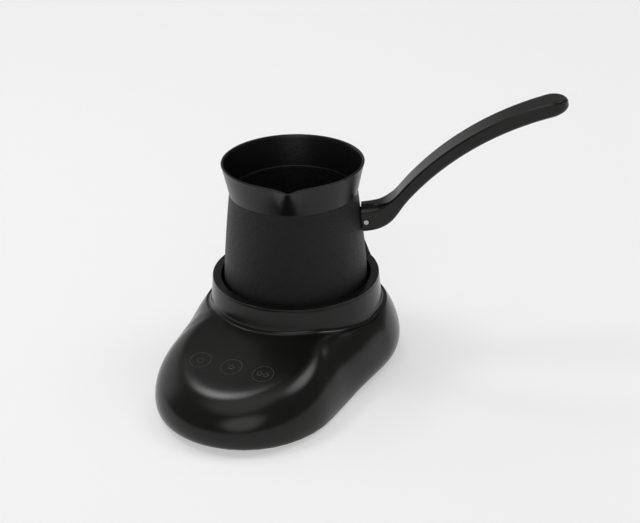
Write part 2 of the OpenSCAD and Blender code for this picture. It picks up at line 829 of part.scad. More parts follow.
function throat_section(a) =
  let (
    outer = [for (t = [0.015, 0.25, 0.5, 0.7, 0.85, 0.95])
      [throat_r(a, t), crease_z + t * throat_h]],
    inner = [for (p = outer) p - [pot_wall, 0]],
    top = throat_r(a, 1)
  )
  concat(
    [[neck_r - 0.4, crease_z - 2], [neck_r - 0.1, crease_z]],
    outer,
    [[top, rim_z - 0.7], [top - 0.25, rim_z - 0.1], [top - 0.75, rim_z],
     [top - 1.25, rim_z - 0.1], [top - pot_wall, rim_z - 0.7]],
    [for (i = [5:-1:0]) inner[i]],
    [[neck_r - pot_wall + 0.1, crease_z], [neck_r - pot_wall + 0.4, crease_z - 2]]
  );

// finer steps round the lip
throat_angles = concat(
  [for (a = [-120:2:-60]) a],
  [for (a = [-55:5:235]) a]
);

module turned() {
  placed() rotate([0, 0, pot_turn]) children();
}

module pot_body() {
  color(coated) turned() union() {
    pot_revolve();
    ring_skin(throat_angles, [for (a = throat_angles) throat_section(a)]);
  }
}

// ---------- handle ----------
root_z = seat_z + root_rise;
tip_z = seat_z + handle_rise;
root_wall = body_r(root_z);             // outer radius of the pot at the root
root_x = root_wall - 1;
bend = [root_wall + 25.3, root_z + 15.2];
centre_low = [[root_x, root_z], [root_x + 13.7, root_z + 0.7],
  [bend.x - 8.3, bend.y - 10.4], bend];
centre_high = [bend, bend + [13.9, 17.4],
  [handle_reach - 49.8, tip_z - 11.2], [handle_reach, tip_z]];

function bezier(p, t) =
  pow(1 - t, 3) * p[0] + 3 * pow(1 - t, 2) * t * p[1]
  + 3 * (1 - t) * t * t * p[2] + pow(t, 3) * p[3];
function bezier_dir(p, t) =
  let (d = pow(1 - t, 2) * (p[1] - p[0]) + 2 * (1 - t) * t * (p[2] - p[1])
    + t * t * (p[3] - p[2]))
  d / norm(d);

// half thickness and half width along the handle: v runs 0 to 1 over both curves
function half_t(v) = v < 0.3 ? mix(8.1, grip_t / 2, pow(sin(90 * v / 0.3), 2.4))
  : mix(grip_t / 2, grip_t / 2 + 0.8, (v - 0.3) / 0.7);
function half_w(v) = mix(root_w, tip_w, pow(v, 0.8)) / 2;
// both draw in at the rounded tip
tip_start = 0.95;
function tip_round(v) =
  sqrt(max(0.02, 1 - pow(max(0, (v - tip_start) / (1 - tip_start)), 2)));

// rounded section: points round half an edge of half width w and half thickness h
function grip_section(w, h) =
  let (c = min(2.2, h * 0.6))
  [for (q = [[1, 1], [-1, 1], [-1, -1], [1, -1]])
    for (i = [0:3])
      let (a = (q.x * q.y > 0 ? i : 3 - i) * 30)
      [q.x * (w - c + c * cos(a)), q.y * (h - c + c * sin(a))]];

grip_stations = concat(
  [for (i = [0:11]) i / 11 * 0.3],
  [for (i = [1:12]) mix(0.3, tip_start, i / 12)],
  [for (f = [0.27, 0.5, 0.7, 0.85, 0.95, 1]) mix(tip_start, 1, f)]
);

function grip_centre(v) = v < 0.3 ? bezier(centre_low, v / 0.3)
  : bezier(centre_high, (v - 0.3) / 0.7);
function grip_dir(v) = v < 0.3 ? bezier_dir(centre_low, v / 0.3)
  : bezier_dir(centre_high, (v - 0.3) / 0.7);

function grip_ring(v) =
  let (
    c = grip_centre(v),
    d = grip_dir(v),
    k = tip_round(v)
  )
  [for (p = grip_section(half_w(v) * k, half_t(v) * mix(k, 1, 0.25)))
    [c.x - d.y * p.y, -p.x, c.y + d.x * p.y]];

module grip_solid() {
  m = 16;
  n = len(grip_stations);
  points = [for (v = grip_stations) each grip_ring(v)];
  sides = [for (k = [0:n - 2]) for (i = [0:m - 1])
    let (a = k * m + i, b = k * m + (i + 1) % m)
    each [[a, b, b + m], [a, b + m, a + m]]];
  ends = [[for (i = [m - 1:-1:0]) i], [for (i = [0:m - 1]) (n - 1) * m + i]];
  polyhedron(points, concat(sides, ends), convexity = 6);
}

bracket_t = 2;
pad_t = 0.6;
bracket_half = 5.2;
rivet_x = root_wall + 2.9;
rivet_z = root_z - 1.5;
bracket_end = root_wall + 13.5;
bracket_gap = 0.15;
wall_gap = 0.8;       // from the pot's wall to the end of the grip, filled by the bracket's pad

module handle() {
  color(moulding) turned() difference() {
    grip_solid();
    translate([0, 0, root_z - 15])
      cylinder(r1 = body_r(root_z - 15) + wall_gap, r2 = body_r(root_z + 15) + wall_gap, h = 30);
    // slot that takes the bracket's tongue
    translate([0, -bracket_t / 2 - bracket_gap, rivet_z - bracket_half - bracket_gap])
      cube([bracket_end + 0.3, bracket_t + 2 * bracket_gap, 2 * (bracket_half + bracket_gap)]);
    translate([rivet_x, 20, rivet_z]) rotate([90, 0, 0]) cylinder(r = rivet_r + slip, h = 40);
    for (s = [-1, 1])
      translate([rivet_x, s * (root_w / 2 + 9.3), rivet_z]) rotate([90, 0, 0])
        cylinder(r = rivet_r + 0.6, h = 20, center = true);
  }
}

// a pad that hugs the pot and a tongue that runs into the handle
module handle_bracket() {
  color(bright) turned() difference() {
    union() {
      translate([root_wall - 2.5, -bracket_t / 2, rivet_z - bracket_half])
        cube([bracket_end - root_wall + 2.5, bracket_t, 2 * bracket_half]);
      intersection() {
        translate([0, 0, root_z - 15])
          cylinder(r1 = body_r(root_z - 15) + pad_t, r2 = body_r(root_z + 15) + pad_t, h = 30);
        translate([30, -5.5, rivet_z - bracket_half]) cube([20, 11, 2 * bracket_half]);
      }
    }
    pot_core();
    translate([rivet_x, 20, rivet_z]) rotate([90, 0, 0]) cylinder(r = rivet_r + slip, h = 40);
  }
}

// the pot's outer form as one solid, for pieces that seat on it
module pot_core() {
  steps = 12;
  rotate_extrude() polygon(concat(
    [[0, body_low]],
    [for (i = [0:steps]) let (z = mix(body_low, crease_z, i / steps)) [body_r(z), z]],
    [[0, crease_z]]
  ));
}

module handle_rivet() {
  color(bright) turned() translate([rivet_x, 0, rivet_z]) rotate([90, 0, 0]) union() {
    cylinder(r = rivet_r, h = root_w - 1.2, center = true);
    for (s = [-1, 1]) translate([0, 0, s * (root_w / 2 - 0.35)])
      cylinder(r = rivet_r + 0.45, h = 0.6, center = true);
  }
}

// ---------- the origin, in the middle of the object's plan ----------
shell_plan = [for (a = shell_angles)
  max([for (p = shell_section(a)) p.x]) * [cos(a), sin(a)]];
grip_plan = [for (v = grip_stations) for (p = grip_ring(v))
  [p.x * cos(pot_turn) - p.y * sin(pot_turn), p.x * sin(pot_turn) + p.y * cos(pot_turn)]];
plan = concat(shell_plan, grip_plan, [[0, gland_back]]);
middle = [
  min([for (p = plan) p.x]) + max([for (p = plan) p.x]),
  min([for (p = plan) p.y]) + max([for (p = plan) p.y])
] / 2;

module placed() {
  translate([-middle.x, -middle.y, 0]) children();
}

upper_housing();
bottom_cover();
rubber_feet();
cover_screws();
cord_gland();
seat_ring();
sensor_housing();
sensor_window();
overflow_sensor();
plate_gasket();
hot_plate();
heating_element();
thermostat();
heat_shield();
plate_nuts();
probe_guide();
temperature_probe();
probe_spring();
thermal_fuse();
power_board();
relay();
transformer();
filter_capacitor();
terminal_block();
buzzer();
board_screws();
touch_carrier();
touch_board();
touch_springs();
indicator_leds();
pot_body();
handle_bracket();
handle();
handle_rivet();
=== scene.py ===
from math import cos, radians, sin

import bpy
import numpy as np
from mathutils import Matrix, Vector


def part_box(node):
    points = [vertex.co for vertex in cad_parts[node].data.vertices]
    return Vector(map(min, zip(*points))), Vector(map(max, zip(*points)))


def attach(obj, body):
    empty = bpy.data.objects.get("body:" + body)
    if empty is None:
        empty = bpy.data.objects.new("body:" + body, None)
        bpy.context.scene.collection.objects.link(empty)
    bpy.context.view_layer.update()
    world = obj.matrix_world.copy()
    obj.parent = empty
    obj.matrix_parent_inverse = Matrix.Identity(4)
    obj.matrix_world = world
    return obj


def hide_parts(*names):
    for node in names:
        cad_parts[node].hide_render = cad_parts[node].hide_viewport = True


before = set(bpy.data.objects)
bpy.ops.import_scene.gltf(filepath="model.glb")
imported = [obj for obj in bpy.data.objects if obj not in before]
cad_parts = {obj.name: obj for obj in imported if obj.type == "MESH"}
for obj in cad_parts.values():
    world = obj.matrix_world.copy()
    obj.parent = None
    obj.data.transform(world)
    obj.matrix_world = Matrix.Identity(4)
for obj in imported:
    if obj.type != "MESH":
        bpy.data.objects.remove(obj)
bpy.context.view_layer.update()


# ---- Where the pot stands -------------------------------------------------------------
# Everything on the base is built round the axis of the pot. Sizes are in millimetres from
# that axis and from the table, and the surfaces are moved there when their mesh is made.
plate_low, plate_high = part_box("hot_plate")
pot_axis = np.array([(plate_low.x + plate_high.x) / 2, (plate_low.y + plate_high.y) / 2, 0.0])
MM = 0.001


def surface(name, grid, close_rows=False, close_columns=False, sharp=None):
    """Turns a grid of points, rows x columns x 3 in millimetres, into one smooth mesh of
    quads. close_rows joins the last row to the first, close_columns the last column to
    the first. Rows or columns that shrink to a point are merged into a pole."""
    rows, columns = grid.shape[:2]
    across = np.arange(columns if close_columns else columns - 1)
    along = np.arange(rows if close_rows else rows - 1)
    row, column = np.meshgrid(along, across, indexing="ij")
    next_row, next_column = (row + 1) % rows, (column + 1) % columns
    quads = np.stack([row * columns + column, row * columns + next_column,
                      next_row * columns + next_column, next_row * columns + column], -1)
    mesh = bpy.data.meshes.new(name)
    mesh.from_pydata((grid.reshape(-1, 3) * MM + pot_axis).tolist(), [],
                     quads.reshape(-1, 4).tolist())
    return finish_mesh(name, mesh, sharp)


MERGE = 1e-6    # points closer than this, in metres, are one point


def finish_mesh(name, mesh, sharp=None):
    """Merges doubled points, points the faces outwards and shades them smooth. sharp is
    the angle in degrees past which an edge stays crisp."""
    import bmesh
    work = bmesh.new()
    work.from_mesh(mesh)
    bmesh.ops.remove_doubles(work, verts=work.verts, dist=MERGE)
    bmesh.ops.dissolve_degenerate(work, edges=work.edges, dist=MERGE / 2)
    bmesh.ops.recalc_face_normals(work, faces=work.faces)
    work.to_mesh(mesh)
    work.free()
    mesh.polygons.foreach_set("use_smooth", np.ones(len(mesh.polygons), bool))
    if sharp is not None:
        mesh.set_sharp_from_angle(angle=radians(sharp))
    mesh.update()
    piece = bpy.data.objects.new(name, mesh)
    bpy.context.scene.collection.objects.link(piece)
    return piece


class Wave:
    """A number or colour that changes over a surface. It wraps a socket, and arithmetic
    on it adds Math nodes to the same finish."""

    def __init__(self, finish, socket):
        self.finish, self.socket = finish, socket

    def math(self, operation, *values):
        return self.finish.node("ShaderNodeMath", {"operation": operation}, *values)

    def __add__(self, other): return self.math("ADD", self, other)
    def __radd__(self, other): return self.math("ADD", other, self)
    def __sub__(self, other): return self.math("SUBTRACT", self, other)
    def __rsub__(self, other): return self.math("SUBTRACT", other, self)
    def __mul__(self, other): return self.math("MULTIPLY", self, other)
    def __rmul__(self, other): return self.math("MULTIPLY", other, self)


class Finish:
    """A procedural material. Its constants go straight onto the shader's sockets."""

    def __init__(self, name, **constants):
        self.material = bpy.data.materials.new(name)
        self.material.use_nodes = True
        self.tree = self.material.node_tree
        self.shader = self.tree.nodes["Principled BSDF"]
        for socket, value in constants.items():
            self.shader.inputs[socket.replace("_", " ")].default_value = value

    def node(self, kind, settings, *inputs, output=0, **named):
        """Adds one node: settings are made first, then inputs fill its sockets in order
        and named ones by name, each with a value or a link. Returns one output."""
        made = self.tree.nodes.new(kind)
        for key, value in settings.items():
            if key == "stops":
                ramp = made.color_ramp.elements
                while len(ramp) < len(value):
                    ramp.new(1.0)
                for stop, (place, colour) in zip(ramp, value):
                    stop.position, stop.color = place, colour
            else:
                setattr(made, key, value)
        pairs = list(enumerate(inputs)) + [(k.replace("_", " "), v) for k, v in named.items()]
        for key, value in pairs:
            if isinstance(value, Wave):
                self.tree.links.new(value.socket, made.inputs[key])
            elif value is not None:
                made.inputs[key].default_value = value
        return Wave(self, made.outputs[output])

    def place(self):
        """The point on the piece, in metres in the object's own space."""
        return self.node("ShaderNodeTexCoord", {}, output="Object")

    def noise(self, vector, scale, detail=2.0, roughness=0.5):
        return self.node("ShaderNodeTexNoise", {}, Vector=vector, Scale=scale,
                         Detail=detail, Roughness=roughness)

    def mix(self, amount, low, high):
        """A colour between low and high."""
        return self.node("ShaderNodeMix", {"data_type": "RGBA"}, amount, None, None, None,
                         None, None, low, high, output=2)

    def range(self, value, low, high, to_low, to_high):
        """value, which runs from low to high, stretched to run from to_low to to_high."""
        return self.node("ShaderNodeMapRange", {}, value, low, high, to_low, to_high)

    def bump(self, height, depth, strength=1.0, normal=None):
        """A relief of the given depth in metres."""
        return self.node("ShaderNodeBump", {}, Strength=strength, Distance=depth,
                         Height=height, Normal=normal)

    def set(self, **waves):
        for socket, wave in waves.items():
            self.tree.links.new(wave.socket, self.shader.inputs[socket.replace("_", " ")])
        return self

    def on(self, *pieces):
        for piece in pieces:
            piece.data.materials.clear()
            piece.data.materials.append(self.material)
        return self


# ---- Bottom cover, feet and cover screws ----------------------------------------------
# A black moulded tray closes the base from below. Six screws pull it against the shell
# and the posts of the seat ring, and four rubber feet sit in recesses.
def moulded_black(name, colour, roughness, grain, depth):
    """Black plastic from a fine-etched mould: a tight grain, and a slow drift of gloss."""
    finish = Finish(name, Specular_IOR_Level=0.3)
    place = finish.place()
    fine = finish.noise(place, grain, 3.0, 0.6)
    slow = finish.noise(place, 38.0, 3.0)
    finish.set(
        Base_Color=finish.mix(slow, [c * 0.85 for c in colour] + [1.0],
                              [c * 1.2 for c in colour] + [1.0]),
        Roughness=slow * 0.08 + (roughness - 0.04) + fine * 0.03,
        Normal=finish.bump(fine, depth, 0.6))
    return finish


tray = moulded_black("tray plastic", (0.012, 0.012, 0.0115), 0.5, 2600.0, 0.00006)
tray.on(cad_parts["bottom_cover"])

sole = Finish("foot rubber", Specular_IOR_Level=0.3)
sole_place = sole.place()
sole_grain = sole.noise(sole_place, 1500.0, 4.0)
sole.set(Base_Color=sole.mix(sole_grain, (0.012, 0.012, 0.012, 1), (0.03, 0.03, 0.029, 1)),
         Roughness=sole_grain * 0.2 + 0.7, Normal=sole.bump(sole_grain, 0.0001, 0.5))
sole.on(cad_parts["rubber_feet"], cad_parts["cord_gland"])


def bare_metal(name, colour, roughness, stretch=(1.0, 1.0, 14.0)):
    """Bare metal with fine drawn lines along the direction of the smallest stretch."""
    finish = Finish(name, Metallic=1.0)
    lines = finish.noise(finish.node("ShaderNodeMapping", {}, finish.place(), None, None,
                                     stretch), 900.0, 4.0, 0.65)
    finish.set(Base_Color=finish.mix(lines, [c * 0.8 for c in colour] + [1.0],
                                     list(colour) + [1.0]),
               Roughness=lines * 0.15 + roughness,
               Normal=finish.bump(lines, 0.00003, 0.4))
    return finish


zinc = bare_metal("zinc plated steel", (0.62, 0.62, 0.6), 0.25)
zinc.on(*[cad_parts[n] for n in (
    "cover_screws", "board_screws", "plate_nuts", "overflow_sensor", "probe_spring",
    "touch_springs", "temperature_probe")])

# ---- Upper housing --------------------------------------------------------------------
# One black moulding: a teardrop base whose rear end carries the round collar, with a deck
# that slopes down to the touch keys and rolls over a broad shoulder into the walls.
REAR_R, FRONT_R, END_GAP, REAR_Y = 58.0, 53.0, 67.3, 0.4
DECK_Z, DECK_SLOPE, DECK_LEVEL, DECK_BLEND = 41.1, 0.19, 38.0, 20.0
# at the front, on the flank beside the keys, on the flank beside the collar, at the rear
SHOULDER = np.array([20.0, 25.5, 7.0, 11.0])    # depth of the rounded shoulder
BELLY = np.array([5.05, 1.7, 6.1, 5.7])         # how far the wall swells over its foot
ROUNDNESS = np.array([3.4, 2.8, 3.35, 2.8])
SIDE_RUN = 0.81                     # the flank is all key side from this share on
FOOT_Z, PARTING_Z, FOOT_OUT = 2.6, 3.9, 1.0
COLLAR_R, COLLAR_TOP, COLLAR_FOOT_R, COLLAR_IN, CAP_T = 51.1, 55.2, 55.0, 48.0, 1.2
WALL = 2.4
slant_y = (FRONT_R - REAR_R) / END_GAP
slant_x = np.sqrt(1 - slant_y ** 2)


def outline(angle, out=0.0):
    """Distance from the pot axis to the foot of the wall in the direction of angle, in
    radians, and the outward normal there. The plan is two circles and the two straight
    flanks that touch both; out moves it outwards."""
    c, s = np.cos(angle), np.sin(angle)

    def to_circle(y, r):
        return s * y + np.sqrt(np.maximum((s * y) ** 2 - y * y + r * r, 0))

    rear, front = REAR_R + out, FRONT_R + out
    to_rear, to_front = to_circle(REAR_Y, rear), to_circle(REAR_Y - END_GAP, front)
    to_flank = (rear + slant_y * REAR_Y) / np.maximum(np.abs(c) * slant_x + s * slant_y, 1e-3)
    on_rear = to_rear * s >= REAR_Y + rear * slant_y
    on_front = ~on_rear & (to_flank * s < REAR_Y - END_GAP + front * slant_y)
    r = np.where(on_rear, to_rear, np.where(on_front, to_front, to_flank))
    nx = np.where(on_rear, r * c / rear, np.where(on_front, r * c / front,
                                                  np.sign(c) * slant_x))
    ny = np.where(on_rear, (r * s - REAR_Y) / rear,
                  np.where(on_front, (r * s - REAR_Y + END_GAP) / front, slant_y))
    return r, nx, ny


def deck(y):
    """Height of the deck: level round the collar, then a slope eased in over DECK_BLEND."""
    t = np.maximum(0, -y - DECK_LEVEL)
    return DECK_Z - DECK_SLOPE * np.where(t < DECK_BLEND, t * t / (2 * DECK_BLEND),
                                          t - DECK_BLEND / 2)


def wall(angle, s, out, drop, stop):
    """Radius and height of the wall: s runs from 0 at the foot to 1 at the end of the
    shoulder, which is a superellipse from the wall to the deck, cut off at radius stop."""
    foot, nx, ny = outline(angle)
    run = np.clip((REAR_Y - foot * np.sin(angle)) / END_GAP / SIDE_RUN, 0, 1)
    along = run * run * (3 - 2 * run)
    share = np.stack([np.where(ny < 0, ny * ny, 0), nx * nx * along,
                      nx * nx * (1 - along), np.where(ny > 0, ny * ny, 0)], -1)
    facing = np.maximum(0.3, nx * np.cos(angle) + ny * np.sin(angle))
    depth, belly, n = share @ SHOULDER / facing, share @ BELLY / facing, share @ ROUNDNESS
    foot = outline(angle, out)[0]
    room = np.clip(1 - (foot - stop) / depth, 0, 1)
    end = np.arccos(room ** (n / 2))
    t, k = s * end, 2 / n
    r = foot - depth * (1 - np.cos(t) ** k) + belly * np.sin(np.pi * s ** 0.34)
    top = deck(r * np.sin(angle)) - drop
    return r, FOOT_Z + (top - FOOT_Z) * np.sin(t) ** k, room <= 0


def shell_section(angle, wall_rows=44, deck_rows=10):
    """Closed outline of the shell's wall at each angle, as radius and height: up the
    outside over the shoulder, deck, fillet and collar, then down the inside."""
    rows = []
    foot = outline(angle)[0]
    for out, z in ((-0.5, 0.0), (-0.12, 0.05), (0.0, 0.3)):
        rows.append((foot + FOOT_OUT + out + 0 * angle, PARTING_Z + z + 0 * angle))
    stop = COLLAR_FOOT_R + 1
    for s in (np.arange(1, wall_rows + 1) / wall_rows) ** 1.5:
        r, z, full = wall(angle, s, 0.0, 0.0, stop)
        rows.append((r, z))
    for f in np.arange(1, deck_rows + 1) / deck_rows:
        at = r + (COLLAR_FOOT_R - r) * f
        rows.append((at, np.where(full, deck(at * np.sin(angle)), z)))
    z_foot = rows[-1][1]
    cap = COLLAR_TOP - CAP_T
    for out, up in ((-0.55, 0.1), (-1.05, 0.3), (-1.5, 0.62), (-1.85, 1.05), (-2.1, 1.6),
                    (-2.3, 2.3), (-2.45, 3.1)):
        rows.append((COLLAR_FOOT_R + out + 0 * angle, z_foot + up))
    r_low, z_low = rows[-1]
    for f in np.arange(1, 9) / 8:
        rows.append((r_low + (COLLAR_R - r_low) * f, z_low + (cap - 0.35 - z_low) * f))
    for inset, z in ((0.1, cap - 0.1), (0.35, cap)):
        rows.append((COLLAR_R - inset + 0 * angle, z + 0 * angle))
    rows.append((COLLAR_IN + 0 * angle, cap + 0 * angle))
    inner = [wall(angle, s, -WALL, WALL, COLLAR_FOOT_R - WALL)
             for s in (np.arange(1, 15) / 14) ** 1.5]
    r, z, full = inner[-1]
    for f in (1.0, 0.66, 0.33):
        at = r + (COLLAR_IN - r) * f
        rows.append((at, np.where(full, deck(at * np.sin(angle)) - WALL, z)))
    rows += [(r, z) for r, z, full in inner[::-1]]
    rows.append((foot - WALL, PARTING_Z + 0 * angle))
    return np.array(rows)


def round_axis(section, angle):
    """Swings a section of radius and height, rows x 2 x angles, round the pot axis."""
    r, z = section[:, 0], section[:, 1]
    return np.stack([r * np.cos(angle), r * np.sin(angle), z], -1)


shell_angle = np.radians(np.arange(0, 360, 1.25))
shell = surface("base_shell", round_axis(shell_section(shell_angle), shell_angle),
                close_rows=True, close_columns=True, sharp=50)
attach(shell, "base")
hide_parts("upper_housing")
shell_plastic = moulded_black("shell plastic", (0.0045, 0.0046, 0.0038), 0.17, 2300.0, 0.00004)
shell_plastic.on(shell)


# ---- Touch icons ----------------------------------------------------------------------
# Three thin circles are printed on the sloping deck over the touch springs, each with a
# small sign: switch on, one cup and two cups. The ink stands a hair above the plastic.
KEY_PITCH, KEY_MIDDLE, KEY_Y, KEY_R = 20.0, -1.1, -85.4, 6.15
INK_W = 0.26


def stroke(points, closed=False, width=INK_W):
    """A printed line along points of the deck's plan: a strip as wide as the pen, offset
    to both sides along the normal of the path, from just under the deck to just above."""
    points = np.asarray(points, float)
    ahead = np.roll(points, -1, 0) - np.roll(points, 1, 0)
    if not closed:
        ahead[0], ahead[-1] = points[1] - points[0], points[-1] - points[-2]
    ahead /= np.linalg.norm(ahead, axis=1, keepdims=True)
    across = np.stack([-ahead[:, 1], ahead[:, 0]], -1) * width / 2
    low, high = -0.08, 0.025
    rows = []
    for side, up in ((-1, low), (-1, high), (1, high), (1, low)):
        x, y = (points + across * side).T
        rows.append(np.stack([x, y, deck(y) + up], -1))
    grid = np.array(rows)
    if not closed:
        grid = np.concatenate([np.tile(grid[:, :1].mean(0), (4, 1))[:, None], grid,
                               np.tile(grid[:, -1:].mean(0), (4, 1))[:, None]], 1)
    return surface("ink", grid, close_rows=True, close_columns=closed, sharp=40)


def arc(x, y, r, start, end, points=24, squash=1.0):
    """Points of a circle's arc from start to end in degrees, flattened by squash."""
    a = np.radians(np.linspace(start, end, points))
    return np.stack([x + r * np.cos(a), y + r * squash * np.sin(a)], -1)


def cup(x, y, size):
    """Strokes of a cup seen from the side: a bowl, its handle, a saucer and one wisp."""
    bowl = np.concatenate([[[x - size, y + 0.7 * size]],
                           arc(x, y - 0.1 * size, size * 0.86, 180, 360, squash=0.8),
                           [[x + size, y + 0.7 * size]], [[x - size, y + 0.7 * size]]])
    wisp_y = np.linspace(y + size, y + 1.9 * size, 9)
    wisp = np.stack([x + 0.16 * size * np.sin((wisp_y - y) / size * 6.3), wisp_y], -1)
    return [stroke(bowl), stroke(arc(x + size * 0.95, y + 0.15 * size, 0.42 * size, -90, 90, 12)),
            stroke([[x - 1.1 * size, y - 1.05 * size], [x + 1.1 * size, y - 1.05 * size]]),
            stroke(wisp)]


ink = []
for key in (-1, 0, 1):
    x = KEY_MIDDLE + key * KEY_PITCH
    circle = arc(x, KEY_Y, KEY_R, 0, 360, 73)[:-1]
    ink.append(stroke(circle, closed=True))
    if key < 0:
        ink.append(stroke(arc(x, KEY_Y - 0.2, 1.9, 120, 420, 30)))
        ink.append(stroke([[x, KEY_Y + 0.3], [x, KEY_Y + 2.3]]))
    else:
        for cup_x in ([x] if key == 0 else [x - 2.1, x + 1.9]):
            ink += cup(cup_x, KEY_Y - 0.3, 1.35)


def join(pieces):
    """Makes one mesh of several pieces and removes the others."""
    import bmesh
    work = bmesh.new()
    for piece in pieces:
        work.from_mesh(piece.data)
    work.to_mesh(pieces[0].data)
    work.free()
    for piece in pieces[1:]:
        bpy.data.objects.remove(piece)
    return pieces[0]


icons = join(ink)
icons.name = "touch_icons"
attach(icons, "base")
printed = Finish("grey print", Specular_IOR_Level=0.4)
speckle = printed.noise(printed.place(), 3000.0, 3.0)
printed.set(Base_Color=printed.mix(speckle, (0.025, 0.025, 0.025, 1), (0.05, 0.05, 0.048, 1)),
            Roughness=speckle * 0.15 + 0.45)
printed.on(icons)

# ---- Seat ring ------------------------------------------------------------------------
# A separate black ring caps the collar and lines the seat. Its flange has rounded edges
# and leaves a thin line above the collar; four posts below it take the cover screws.
SEAT_R = 45.75


def rounded(points, radius, steps=4):
    """Rounds the corners of a closed outline of radius and height: each corner with a
    radius above 0 becomes an arc-like curve that starts and ends that far from it."""
    out = []
    count = len(points)
    for i in range(count):
        p, q, s = (np.array(points[(i + j) % count], float) for j in (-1, 0, 1))
        reach = radius[i]
        if reach <= 0:
            out.append(q)
            continue
        a = q + (p - q) / np.linalg.norm(p - q) * reach
        b = q + (s - q) / np.linalg.norm(s - q) * reach
        for t in np.linspace(0, 1, steps + 1):
            out.append((1 - t) ** 2 * a + 2 * t * (1 - t) * q + t * t * b)
    return np.array(out)


def lathe(name, outline_points, columns=240, sharp=50):
    """Turns an outline of radius and height round the pot axis into a closed piece."""
    angle = np.linspace(0, 2 * np.pi, columns, endpoint=False)
    section = np.repeat(np.asarray(outline_points)[:, :, None], columns, 2)
    return surface(name, round_axis(section, angle), close_rows=True, close_columns=True,
                   sharp=sharp)


ring = lathe("seat_ring_cap", rounded(
    [(SEAT_R - 0.25, COLLAR_TOP - 0.9), (SEAT_R + 0.35, COLLAR_TOP), (COLLAR_R, COLLAR_TOP),
     (COLLAR_R, COLLAR_TOP - CAP_T), (SEAT_R + 1.8, COLLAR_TOP - CAP_T), (SEAT_R + 1.8, 38.0),
     (37.3, 38.0), (37.3, 39.6), (SEAT_R - 0.25, 39.6)],
    [0.3, 0.45, 0.55, 0.15, 0.3, 0.3, 0.2, 0.2, 0.3]))
POST_RING_R, POST_R, POST_TOP, POST_LOW, POST_SIDES = 44.3, 2.9, 38.6, 8.0, 24
post_angle = np.linspace(0, 2 * np.pi, POST_SIDES, endpoint=False)
posts = []
for centre in np.radians([45, 135, 225, 315]):
    rim = np.stack([POST_RING_R * np.cos(centre) + POST_R * np.cos(post_angle),
                    POST_RING_R * np.sin(centre) + POST_R * np.sin(post_angle)], -1)
    rows = [np.column_stack([rim, np.full(POST_SIDES, z)]) for z in (POST_TOP, POST_LOW + 0.3)]
    rows.append(np.column_stack([rim * 0.995 + 0.005 * rim.mean(0),
                                 np.full(POST_SIDES, POST_LOW)]))
    top, bottom = (np.tile(np.append(rim.mean(0), z), (POST_SIDES, 1))
                   for z in (POST_TOP, POST_LOW))
    posts.append(surface("post", np.array([top] + rows + [bottom]), close_columns=True,
                         sharp=40))


ring = join([ring] + posts)
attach(ring, "base")
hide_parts("seat_ring")
shell_plastic.on(ring)

# ---- Sensor hood ----------------------------------------------------------------------
# A low guard carries the collar upwards behind the pot, with rounded edges. It hides the
# sensor that watches for foam at the rim, behind a dark window in its inner face.
HOOD_H, HOOD_HALF, HOOD_RUN, HOOD_IN = 16.0, 34.2, 19.0, SEAT_R + 0.6
WINDOW_Z, WINDOW_H, WINDOW_HALF, WINDOW_DEEP = COLLAR_TOP + 5.0, 6.0, 9.25, 1.25
HOOD_EDGE = 0.9


def hood_grid():
    """The hood as columns across it, each a loop that runs up the inner cylinder, over the
    rounded top and down the outer cylinder. Its height is level in the middle and falls
    to nothing at both ends as a quarter of a sine."""
    half = np.concatenate([np.linspace(0, WINDOW_HALF, 14), [WINDOW_HALF + 0.05],
                           np.linspace(WINDOW_HALF + 0.6, HOOD_HALF * 0.93, 34),
                           HOOD_HALF * (1 - 0.07 * np.cos(np.linspace(0, np.pi / 2, 12))[1:])])
    x = np.concatenate([-half[:0:-1], half])
    height = HOOD_H * np.sin(np.pi / 2 * np.clip((HOOD_HALF - np.abs(x)) / HOOD_RUN, 0, 1))
    edge = np.minimum(HOOD_EDGE, height * 0.45)
    low = (WINDOW_Z - COLLAR_TOP) / (HOOD_H - HOOD_EDGE)
    high = (WINDOW_Z + WINDOW_H - COLLAR_TOP) / (HOOD_H - HOOD_EDGE)
    levels = np.concatenate([np.linspace(0, low - 0.004, 5), np.linspace(low, high, 6),
                             np.linspace(high + 0.004, 1, 3)])
    beside = np.abs(x) <= WINDOW_HALF
    rows = []
    for f in levels:
        sunk = WINDOW_DEEP * beside * (low <= f <= high)
        rows.append((HOOD_IN + sunk, (height - edge) * f))
    turn = np.radians([22.5, 45, 67.5, 90])
    rows += [(HOOD_IN + edge * (1 - np.cos(a)), height - edge * (1 - np.sin(a))) for a in turn]
    rows += [(COLLAR_R - edge * (1 - np.cos(a)), height - edge * (1 - np.sin(a)))
             for a in turn[::-1]]
    rows += [(COLLAR_R + 0 * x, (height - edge) * f) for f in np.linspace(1, 0, 8)]
    r = np.array([row[0] + 0 * x for row in rows])
    return np.stack([x + 0 * r, np.sqrt(r * r - x * x),
                     COLLAR_TOP + np.array([row[1] for row in rows])], -1)


hood = surface("sensor_hood", hood_grid(), close_rows=True, sharp=40)
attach(hood, "base")
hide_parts("sensor_housing")
shell_plastic.on(hood)
window_glass = Finish("sensor window", Roughness=0.08, Specular_IOR_Level=0.5)
glass_tint = window_glass.noise(window_glass.place(), 60.0)
window_glass.set(Base_Color=window_glass.mix(glass_tint, (0.010, 0.003, 0.005, 1),
                                             (0.02, 0.007, 0.01, 1)))
window_glass.on(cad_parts["sensor_window"])

